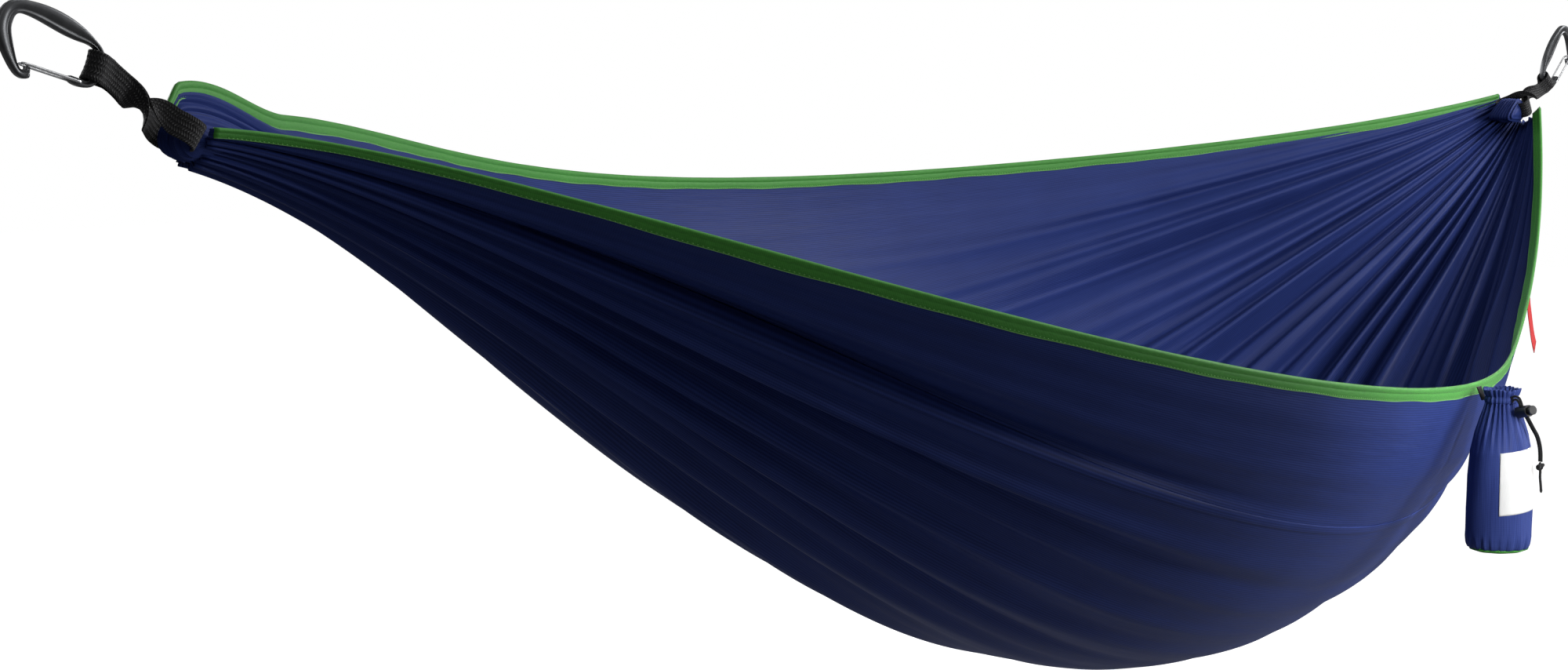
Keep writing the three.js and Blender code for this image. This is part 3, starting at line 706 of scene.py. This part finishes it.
# Section of the folded tape: millimetres down from the cloth's edge, and out from the cloth.
TAPE_HALF = [(12.9, 0.55), (12.7, 1.05), (11.6, 1.10), (11.2, 0.92), (10.8, 1.12), (7.6, 1.30), (5.2, 1.45),
             (4.6, 1.20), (4.0, 1.62), (2.2, 2.15), (0.4, 2.25), (-1.2, 1.70)]
TAPE_SECTION = TAPE_HALF + [(-1.9, 0.0)] + [(d, -n) for d, n in reversed(TAPE_HALF)]


TAPE_TURN = math.radians(40)


def edge_frame(u, edge):
    """Point, direction down into the cloth and normal along one long edge."""
    w_down = abs(edge - 0.011)
    at = cloth_point(u, edge)
    down = cloth_point(u, w_down) - at
    down /= np.linalg.norm(down, axis=-1, keepdims=True)
    v = sweep_of(u, edge + 0 * u)
    normal = smooth_normal(u, v)
    normal -= (normal * down).sum(-1, keepdims=True) * down
    normal /= np.linalg.norm(normal, axis=-1, keepdims=True)
    return at, down, normal


def tape_share(u, edge):
    """The near tape is folded narrower beside the left gather."""
    return 1 - 0.4 * smoothstep(-0.60, -0.90, u) * (edge == 0)


def turned_tape(u, edge, down, normal):
    """The near tape rolls over, towards the hollow, where its edge climbs to the right gather."""
    angle = (TAPE_TURN * smoothstep(0.34, 0.62, u) * (edge == 0))[:, None]
    return (down * np.cos(angle) + normal * np.sin(angle), normal * np.cos(angle) - down * np.sin(angle))


def make_binding(name, edge, node_name, ends):
    u = spread_u(420, ends)
    at, down, normal = edge_frame(u, edge)
    section = np.array(TAPE_SECTION) * MM
    ripple = 1 + 0.06 * np.sin(u * 61 + edge * 3) * np.sin(u * 23)
    ripple *= tape_share(u, edge)
    down, normal = turned_tape(u, edge, down, normal)
    rings = (at[:, None] + down[:, None] * section[None, :, :1] * ripple[:, None, None]
             + normal[:, None] * section[None, :, 1:])
    points, faces = capped_loft(rings)
    across = np.sign(section[:, 1]) * np.abs(section[:, 0])
    cloth = flat_place(u * CLOTH_LENGTH / 2, across)
    binding = face_outward(add_mesh(name, points, faces, GREEN, cloth))
    return stand_for(binding, "bed", "green_binding", node_name)


def make_stitches(name, places, along, out, material, length=0.0026, width=0.00045):
    """Small thread stitches: one six-sided lozenge for each place."""
    points, faces = [], []
    for at, forward, up in zip(places, along, out):
        side = np.cross(forward, up)
        base = len(points)
        points += [at - forward * length / 2, at + side * width, at + up * width, at - side * width,
                   at - up * width, at + forward * length / 2]
        for k in range(4):
            first, second = base + 1 + k, base + 1 + (k + 1) % 4
            faces += [(base, second, first), (base + 5, first, second)]
    stitches = add_mesh(name, points, faces, material, np.array(points))
    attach(stitches, "bed")
    return stitches


def binding_stitches(name, edge, ends):
    length = 2.86
    u = np.linspace(ends[0] + 0.01, ends[1] - 0.01, int(length / 0.0044))
    at, down, normal = edge_frame(u, edge)
    down, normal = turned_tape(u, edge, down, normal)
    forward = np.gradient(at, axis=0)
    forward /= np.linalg.norm(forward, axis=1)[:, None]
    drop = down * (0.0112 * tape_share(u, edge))[:, None]
    places = np.concatenate([at + drop + normal * 0.00112 * side for side in (1, -1)])
    out = np.concatenate([normal, -normal])
    stitches = make_stitches(name, places, np.tile(forward, (2, 1)), out, THREAD)
    return stitches


BINDING_ENDS = (-0.982, 0.984)
bed_piece = make_bed()
near_seam = make_seam("near_seam_band", SEAM_SHARE, "near_felled_seam")
far_seam = make_seam("far_seam_band", 1 - SEAM_SHARE, "far_felled_seam")
near_binding = make_binding("near_binding_tape", 0.0, "near_edge_binding", BINDING_ENDS)
far_binding = make_binding("far_binding_tape", 1.0, "far_edge_binding", BINDING_ENDS)
near_stitches = binding_stitches("near_binding_stitches", 0.0, BINDING_ENDS)
far_stitches = binding_stitches("far_binding_stitches", 1.0, BINDING_ENDS)


TAG_PLACE = (0.632, 0.669)
TAG_DROP = 0.056
TAG_ALONG = 1.4                    # metres of tape for each unit of u
TAG_DROP_ON_CLOTH = 0.06


def make_tag():
    """The folded red side tag, sewn in behind the near binding and flaring outward."""
    u = np.linspace(*TAG_PLACE, 9)
    drop = np.linspace(0, 1, 17)
    at, down, normal = edge_frame(u, 0.0)
    flare = 2.2 + 21 * drop ** 1.3 + 0.8 * np.sin(drop * 5)
    sheets = []
    for side in (0.45, -0.45):
        sheets.append(at[:, None] + down[:, None] * (0.004 + TAG_DROP * drop)[None, :, None]
                      - normal[:, None] * ((flare + side) * MM)[None, :, None])
    rings = np.concatenate([sheets[0], sheets[1][:, ::-1]], 1)
    points, faces = capped_loft(rings)
    cloth = flat_place(u * TAG_ALONG, np.concatenate([drop, drop[::-1]]) * TAG_DROP_ON_CLOTH)
    tag = face_outward(add_mesh("red_side_tag", points, faces, RED, cloth))
    return stand_for(tag, "bed", "red_label_cloth", "side_tag")


make_tag()


# ---------------------------------------------------------------- the two hanging ends
def end_matrices(end):
    """Frames of the sleeve, the webbing and the carabiner of one end."""
    place = Matrix.Translation(Vector(BED_ORIGIN) + Vector(end["at"]))
    sleeve = place @ Matrix.Rotation(math.radians(end["swing"]), 4, "Z")
    webbing = sleeve @ Matrix.Rotation(-math.radians(end["webbing"]), 4, "Y")
    lean = -math.radians(end["carabiner"] - end["webbing"])
    carabiner = webbing @ Matrix.Translation((WEBBING_REACH, 0, 0)) @ Matrix.Rotation(lean, 4, "Y")
    return sleeve, webbing, carabiner


def make_sleeve(side, matrix, tail, drop, fan):
    """The hem channel, bunched on the webbing: a drop-shaped section with pleats across it."""
    pleats = fold_layer(11, 31 + len(side))
    y = np.linspace(-1, 1, 150)
    a = np.linspace(0, 2 * np.pi, 64, endpoint=False)
    rings = []
    for share in y:
        close = max(1 - abs(share) ** 5, 0.0) ** 0.5
        behind = np.clip(-np.cos(a), 0, 1)
        pleat = float(folds_of(pleats, np.array((share + 1) / 2), 0.0))
        radius = (16.2 + 1.7 * pleat) * max(close, 0.05)
        x = np.where(np.cos(a) > 0, radius * np.cos(a), -(radius + (tail - 16) * behind ** 1.3) * behind)
        z = radius * np.sin(a) * (1 - 0.25 * behind)
        x = x - 1.2 * math.sin(share * 9) * (1 - behind)
        back = np.clip(-x / tail, 0, 1)
        z = z - drop * back ** 1.3
        spread = 19 * share * (1 + fan * back ** 1.2)
        rings.append(np.stack([x, spread + 0 * x, z], 1))
    points, faces = capped_loft(rings)
    cloth = np.stack([np.tile(a * 0.018, len(y)), np.repeat(y * 0.3, len(a)), 0 * points[:, 0]], -1)
    sleeve = face_outward(add_mesh(f"{side}_gathered_hem", to_world(matrix, points), faces, NAVY, cloth))
    return stand_for(sleeve, "bed", "navy_nylon", f"{side}_end_sleeve")


def webbing_line():
    """The loop's centreline in its own plane: from the sleeve round the carabiner's bar and back."""
    layer = 1.35
    half = [(0, 0), (0, 10), (0, 17), (1.2, 21.5), (5, 25), (11, 25.6), (17, 23.4), (24, 18.6), (31, 12.6),
            (38, 7.2), (45, 3.4), (53, layer), (70, layer), (84, layer), (90, 3.4)]
    eye = [(100 + 8 * math.cos(math.radians(angle)), 8 * math.sin(math.radians(angle)))
           for angle in range(132, 0, -22)]
    outward = half + eye + [(108, 0)]
    back = [(x, -y) for x, y in outward[-2:0:-1]]
    return through([(x, y, 0) for x, y in outward + back], 260, closed=True)


WEBBING_HALF = [(-12, 0), (-11.8, 0.6), (-11, 0.95), (-8.8, 0.8), (-6.6, 1.05), (-4.4, 0.8), (-2.2, 1.05),
                (0, 0.8), (2.2, 1.05), (4.4, 0.8), (6.6, 1.05), (8.8, 0.8), (11, 0.95), (11.8, 0.6)]
WEBBING_SECTION = WEBBING_HALF + [(12, 0)] + [(h, -t) for h, t in reversed(WEBBING_HALF[1:])]


def make_webbing(side, matrix, lean):
    """A flat webbing loop with half a twist between the sleeve and the eye round the bar."""
    line = webbing_line()
    along = np.roll(line, -1, 0) - np.roll(line, 1, 0)
    along /= np.linalg.norm(along, axis=1)[:, None]
    across = np.stack([-along[:, 1], along[:, 0], 0 * along[:, 0]], 1)
    section = np.array(WEBBING_SECTION)
    cupped = 0.9 * smoothstep(92, 108, line[:, 0])
    rings = line[:, None] + across[:, None] * section[None, :, 1:]
    tall = np.broadcast_to(section[None, :, 0], rings.shape[:2])
    rings = rings.copy()
    rings[..., 2] = tall * (1 - 0.05 * smoothstep(60, 30, line[:, 0]))[:, None]
    rings[..., 0] += cupped[:, None] * (tall / 12) ** 2 * 1.6
    twist = math.pi * smoothstep(24, 74, line[:, 0])
    cos, sin = np.cos(twist)[:, None], np.sin(twist)[:, None]
    y, z = rings[..., 1].copy(), rings[..., 2].copy()
    rings[..., 1], rings[..., 2] = y * cos - z * sin, y * sin + z * cos
    share = smoothstep(50, 88, rings[..., 0])
    angle = math.radians(lean) * share
    from_bar = rings[..., 0] - 100
    turned = np.maximum(from_bar, -12)
    height = rings[..., 2].copy()
    rings[..., 0] = 100 + from_bar + turned * (np.cos(angle) - 1) - height * np.sin(angle)
    rings[..., 2] = turned * np.sin(angle) + height * np.cos(angle)
    rows, columns = rings.shape[:2]
    faces = ring_faces(rows, columns)
    length = np.concatenate([[0], np.cumsum(np.linalg.norm(np.diff(line, axis=0), axis=1))]) * MM
    cloth = flat_place(length, section[:, 0] * MM)
    points = to_world(matrix, rings.reshape(-1, 3))
    loop = face_outward(add_mesh(f"{side}_twisted_webbing", points, faces, WEBBING, cloth))
    return stand_for(loop, f"{side}_webbing", "black_webbing", f"{side}_webbing_loop")


BAR_OUTER = [(21, -18), (17, -19.8), (8, -19.4), (0.5, -16.6), (-4.4, -10), (-5.2, 0), (-4.2, 9), (1.5, 15.6),
             (9, 19.5), (21, 24), (34, 26.8), (47, 27.8), (60, 27.2), (72, 25.2), (82, 22.6), (89.5, 18.5),
             (93.8, 12.5), (95.5, 5), (94.6, -3), (91, -10), (84.5, -17.8), (77, -24.5), (69.5, -30),
             (63.5, -32.8), (57.5, -33), (53.6, -30.4), (54.2, -27)]
BAR_INNER = [(20, -14.6), (14, -14), (8.4, -13.6), (5.4, -12.4), (5.2, 0), (5.4, 12.4), (8.6, 13.8), (14, 14),
             (25, 12.9), (36, 12.6), (48.4, 13.2), (60, 13.9), (70, 13.9), (76.6, 13), (80.4, 11), (82.2, 8),
             (82.2, 0), (80.6, -4.2), (77, -10.4), (71.4, -18.8), (67.6, -24), (63.5, -27), (59.6, -26),
             (58.4, -22), (55, -22.6)]
# The same places along both outlines: hinge, narrow end, spine, crown, nose limb, nose.
BAR_MATCH = [(0, 0), (2, 2), (8, 6), (14, 13), (19, 18), (22, 20), (26, 24)]
# Across the bar from its outer to its inner side: share of the width, and half thickness in mm.
BAR_PROFILE = [(0.0, 1.5), (0.02, 2.9), (0.09, 3.7), (0.18, 4.0), (0.58, 4.0), (0.62, 3.35), (0.70, 3.2),
               (0.78, 3.35), (0.82, 4.0), (0.90, 3.9), (0.97, 3.0), (1.0, 1.6)]


def outline_at(points, places):
    """Points of a smooth curve through an outline, at fractional indices of its points."""
    fine = through([(u, w, 0) for u, w in points], 40 * (len(points) - 1) + 1)
    index = [int(np.linalg.norm(fine[:, :2] - p, axis=1).argmin()) for p in points]
    at = np.interp(places, np.arange(len(points)), index)
    return np.stack([np.interp(at, np.arange(len(fine)), fine[:, k]) for k in range(2)], 1)


def make_carabiner(side, matrix):
    stretches = zip(BAR_MATCH, BAR_MATCH[1:])
    stations = np.concatenate([np.linspace(a[0], b[0], 34, endpoint=False) for a, b in stretches])
    stations = np.append(stations, BAR_MATCH[-1][0])
    outer = outline_at(BAR_OUTER, stations)
    inner = outline_at(BAR_INNER, np.interp(stations, *zip(*BAR_MATCH)))
    profile = np.array(BAR_PROFILE)
    ring = np.concatenate([profile, profile[::-1] * (1, -1)])
    flat = outer[:, None] * (1 - ring[None, :, :1]) + inner[:, None] * ring[None, :, :1]
    thin = 1 - 0.55 * smoothstep(24.5, 26, stations)[:, None]
    rings = np.stack([flat[..., 0], ring[None, :, 1] * thin + 0 * flat[..., 0], flat[..., 1]], -1)
    points, faces = capped_loft(rings)
    body = face_outward(add_mesh(f"{side}_carabiner_bar", to_world(matrix, points), faces, ANODISED))
    return stand_for(body, f"{side}_carabiner", "anodised_aluminium", f"{side}_carabiner_body")


def make_gate(side, matrix):
    """The gate: one bent wire with its two legs beside the bar."""
    wire, leg = 1.15, 4 + 1.15 + 0.6
    pivot, nose = np.array((11, -16.6)), np.array((63.6, -22.6))

    def at(share, offset):
        u, w = pivot + (nose - pivot) * share
        return (u, offset, w)

    shares = [(0, 0.9), (0, leg - 2.4), (0.012, leg - 0.7), (0.045, leg), (0.2, leg), (0.6, leg), (0.9, leg),
              (0.965, leg - 0.8), (0.995, leg - 2.6)]
    half = [at(s, y) for s, y in shares]
    other = [at(s, -y) for s, y in reversed(shares)]
    line = through(half + [at(1, 0)] + other, 170)
    points, faces = capped_loft(tube_rings(line, wire, 14))
    gate = face_outward(add_mesh(f"{side}_wire_gate", to_world(matrix, points), faces, STEEL))
    return stand_for(gate, f"{side}_gate", "steel_wire", f"{side}_carabiner_gate")


for side, end, hem in (("left", LEFT_END, (28, 8, 0.15)), ("right", RIGHT_END, (28, 10, 0.25))):
    sleeve_frame, webbing_frame, carabiner_frame = end_matrices(end)
    make_sleeve(side, sleeve_frame, *hem)
    make_webbing(side, webbing_frame, end["carabiner"] - end["webbing"])
    make_carabiner(side, carabiner_frame)
    make_gate(side, carabiner_frame)


# ---------------------------------------------------------------- the stuff sack
SACK_OUTLINE = [(34.5, -172.0), (36.6, -168), (38, -160), (38.5, -130), (38, -95), (35.5, -68), (30.5, -48),
                (23.5, -30), (19.2, -20), (18.2, -15.2)]


def sack_radius(z):
    radii, heights = zip(*SACK_OUTLINE)
    return np.interp(z, heights, radii)


def sack_place(angle, z, lift=0.0):
    """A point of the pleated sack in the row frame; angle in radians, z and lift in millimetres."""
    angle, z = np.broadcast_arrays(np.asarray(angle, float), np.asarray(z, float))
    share = (angle / (2 * np.pi)) % 1.0
    base = sack_radius(z)
    gather = smoothstep(-78, -14, z)
    hem = smoothstep(-150, -172, z)
    pleat = folds_of(SACK_PLEATS, share, 0.0)
    crinkle = folds_of(SACK_CRINKLES, (share + 0.31) % 1.0, 0.0)
    soft = np.sin(3 * angle + z * 0.03) + 0.6 * np.sin(5 * angle - z * 0.05 + 1.3)
    radius = base + 1.75 * gather * pleat + 0.9 * hem * crinkle + 0.55 * soft * (1 - gather) + lift
    across = SACK_DEPTH_RATIO * radius * np.sin(angle)
    return np.stack([radius * np.cos(angle), across, z], -1) * MM + SACK_CENTRE


def closed_layer(count, seed):
    """Like fold_layer, with the last fold's values equal to the first's, for a closed round."""
    places, strengths, reaches, leans = fold_layer(count, seed)
    strengths[-1] = strengths[0]
    leans[-1] = leans[0]
    return places, strengths, reaches, leans


SACK_PLEATS = closed_layer(24, 41)
SACK_CRINKLES = closed_layer(19, 42)


def make_sack():
    """Body of the sack: outside up to the neck and back down inside."""
    angles = np.linspace(0, 2 * np.pi, 288, endpoint=False)
    heights = np.concatenate([np.linspace(-172, -150, 14)[:-1], np.linspace(-150, -80, 22)[:-1],
                              np.linspace(-80, -15, 34)])
    outside = [sack_place(angles, z) for z in heights]
    inside = [sack_place(angles, z, -1.2) for z in heights[::-1]]
    rings = np.array(outside + inside)
    rows = len(rings)
    faces = ring_faces(rows, len(angles))
    z_all = np.concatenate([heights, heights[::-1]])
    cloth = flat_place(z_all * MM, angles * SACK_RADIUS)
    sack = face_outward(add_mesh("sack_shell", rings.reshape(-1, 3), faces, SACK_NAVY, cloth))
    return stand_for(sack, "stuff_sack", "navy_nylon", "stuff_sack_body")


def sack_ring(radius, angles, height):
    """One ring round the sack's axis, in millimetres from its centre."""
    across = SACK_DEPTH_RATIO * radius * np.sin(angles)
    return np.stack([radius * np.cos(angles), across, height + 0 * angles], 1)


def make_neck():
    """The drawcord channel and the ruffle above it."""
    angles = np.linspace(0, 2 * np.pi, 288, endpoint=False)
    profile = [(13.2, -15.0), (18.6, -15.6), (19.6, -13.2), (19.3, -9.6), (18.0, -8.2), (18.9, -6.6),
               (20.6, -3.0), (21.2, -0.6), (20.4, -0.2), (18.6, -3.4), (15.4, -7.6), (13.4, -11.0)]
    share = angles / (2 * np.pi)
    pleat = folds_of(SACK_PLEATS, share, 0.0)
    rings = []
    for r, z in profile:
        radius = r + (0.75 if z < -8 else 1.35) * pleat
        height = z + (0.8 * np.sin(4 * angles + 1) + 0.5 * pleat if z > -4 else 0)
        rings.append(sack_ring(radius, angles, height))
    rows, count = len(rings), len(angles)
    faces = ring_faces(rows, count)
    points = np.array(rings).reshape(-1, 3) * MM + SACK_CENTRE
    cloth = flat_place(np.array(profile)[:, 1] * MM, angles * SACK_RADIUS)
    neck = face_outward(add_mesh("sack_neck_ruffle", points, faces, SACK_NAVY, cloth))
    return stand_for(neck, "stuff_sack", "navy_nylon", "stuff_sack_neck_channel")


def make_base():
    """The green round base, sewn in under the hem and bulging a little."""
    angles = np.linspace(0, 2 * np.pi, 144, endpoint=False)
    profile = [(1.0, -170.5), (20, -170.6), (33.4, -171.2), (34.3, -172.4), (33.4, -174.0), (29, -175.6),
               (18, -176.6), (1.0, -177.0)]
    rings = []
    for r, z in profile:
        radius = r + (0.5 * np.sin(9 * angles) if r > 20 else 0)
        rings.append(sack_ring(radius, angles, z))
    points, faces = capped_loft(rings)
    points = points * MM + SACK_CENTRE
    cloth = np.stack([points[:, 0], 0.004 * np.sin(points[:, 1] * 40), 0 * points[:, 0]], -1)
    base = face_outward(add_mesh("sack_base_disc", points, faces, GREEN, cloth))
    return stand_for(base, "stuff_sack", "green_binding", "stuff_sack_base")


def make_label():
    """The blank label patch, lying on the sack with slanted edges."""
    columns, rows = 40, 34
    a = np.linspace(math.radians(206), math.radians(296), columns)[:, None]
    t = np.linspace(0, 1, rows)[None, :]
    rise = 5.0 * (np.linspace(0, 1, columns)[:, None] - 0.5)
    z = -131 + LABEL_HEIGHT * t + rise
    top = sack_place(a, z, 1.0)
    bottom = sack_place(a, z, 0.35)
    rings = np.concatenate([top, bottom[:, ::-1]], 1)
    points, faces = capped_loft(rings)
    cloth = flat_place(a[:, 0] * SACK_RADIUS, np.concatenate([t[0], t[0][::-1]]) * LABEL_HEIGHT * MM)
    label = face_outward(add_mesh("sack_blank_label", points, faces, WHITE, cloth))
    return stand_for(label, "stuff_sack", "white_label_cloth", "stuff_sack_label_patch")


SACK_NAVY = nylon("sack_nylon", (0.020, 0.033, 0.140), (0.046, 0.073, 0.270), rib=0.0018)
make_sack()
make_neck()
make_base()
make_label()


def finish_cad_node(name, material, slot, bevel):
    """Keeps a CAD node's shape, with softened edges and its own finish."""
    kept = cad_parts[name]
    kept.data.materials.clear()
    kept.data.materials.append(material)
    softened = kept.modifiers.new("softened", "BEVEL")
    softened.width = bevel
    softened.segments = 2
    softened.limit_method = "ANGLE"
    softened.angle_limit = math.radians(38)
    kept.data.polygons.foreach_set("use_smooth", [True] * len(kept.data.polygons))
    keep = kept.modifiers.new("shading", "WEIGHTED_NORMAL")
    keep.keep_sharp = True


for finish in (("cord_lock_barrel", PLASTIC, "black_plastic", 0.0004),
               ("cord_lock_button", PLASTIC, "black_plastic", 0.0004),
               ("cord_lock_spring", STEEL, "steel_wire", 0.00005),
               ("drawcord_neck_loop", BRAID, "black_cord", 0.00005),
               ("sack_hang_tab", WEBBING, "navy_nylon", 0.0003)):
    finish_cad_node(*finish)


# ---------------------------------------------------------------- floor, light and world
def make_floor():
    mesh = bpy.data.meshes.new("floor")
    size, level = 14.0, -1.20
    corners = [(-size, -size, level), (size, -size, level), (size, size, level), (-size, size, level)]
    mesh.from_pydata(corners, [], [(0, 1, 2, 3)])
    material, tree, shader = new_material("floor", 0.9)
    shader.inputs["Base Color"].default_value = (0.30, 0.30, 0.30, 1)
    shader.inputs["Emission Color"].default_value = (1, 1, 1, 1)
    path = node(tree, "ShaderNodeLightPath")
    glow = times(tree, path.outputs["Is Camera Ray"], 1.0)
    tree.links.new(glow, shader.inputs["Emission Strength"])
    mesh.materials.append(material)
    floor = bpy.data.objects.new("floor", mesh)
    bpy.context.scene.collection.objects.link(floor)


def area_light(name, place, target, size, power, spread=180):
    light = bpy.data.lights.new(name, "AREA")
    light.shape = "RECTANGLE"
    light.size, light.size_y = size
    light.energy = power
    light.spread = math.radians(spread)
    lamp = bpy.data.objects.new(name, light)
    lamp.location = place
    lamp.rotation_mode = "QUATERNION"
    lamp.rotation_quaternion = (Vector(target) - Vector(place)).to_track_quat("-Z", "Y")
    bpy.context.scene.collection.objects.link(lamp)


def make_world():
    """A white studio surround: a little fill light for the cloth and a soft reflection for the metal."""
    world = bpy.data.worlds.new("studio")
    world.use_nodes = True
    tree = world.node_tree
    background = tree.nodes["Background"]
    background.inputs["Color"].default_value = (1, 1, 1, 1)
    path = node(tree, "ShaderNodeLightPath")
    seen = times(tree, path.outputs["Is Camera Ray"], 0.95)
    mirrored = times(tree, path.outputs["Is Glossy Ray"], 0.30)
    strength = plus(tree, plus(tree, seen, mirrored), 0.05)
    tree.links.new(strength, background.inputs["Strength"])
    bpy.context.scene.world = world


make_world()
make_floor()
area_light("key", (4.4, -2.1, 1.7), (1.6, 0.0, -0.3), (1.3, 1.3), 108)
area_light("above", (1.3, -1.0, 2.4), (1.5, 0.2, -0.2), (1.8, 1.4), 16)
area_light("front", (-1.6, -2.6, 1.6), (0.0, 0.0, 0.0), (0.8, 0.8), 4.5)
area_light("low_right", (2.9, -2.3, -0.1), (1.9, -0.4, -0.5), (0.6, 0.6), 27)
area_light("sack", (1.15, -1.25, -0.15), (1.55, -0.53, -0.47), (0.25, 0.25), 0.75, spread=50)
area_light("back", (1.2, 3.4, 0.9), (1.4, 0.2, -0.5), (2.0, 1.4), 70)
bpy.context.scene.view_settings.view_transform = "Standard"
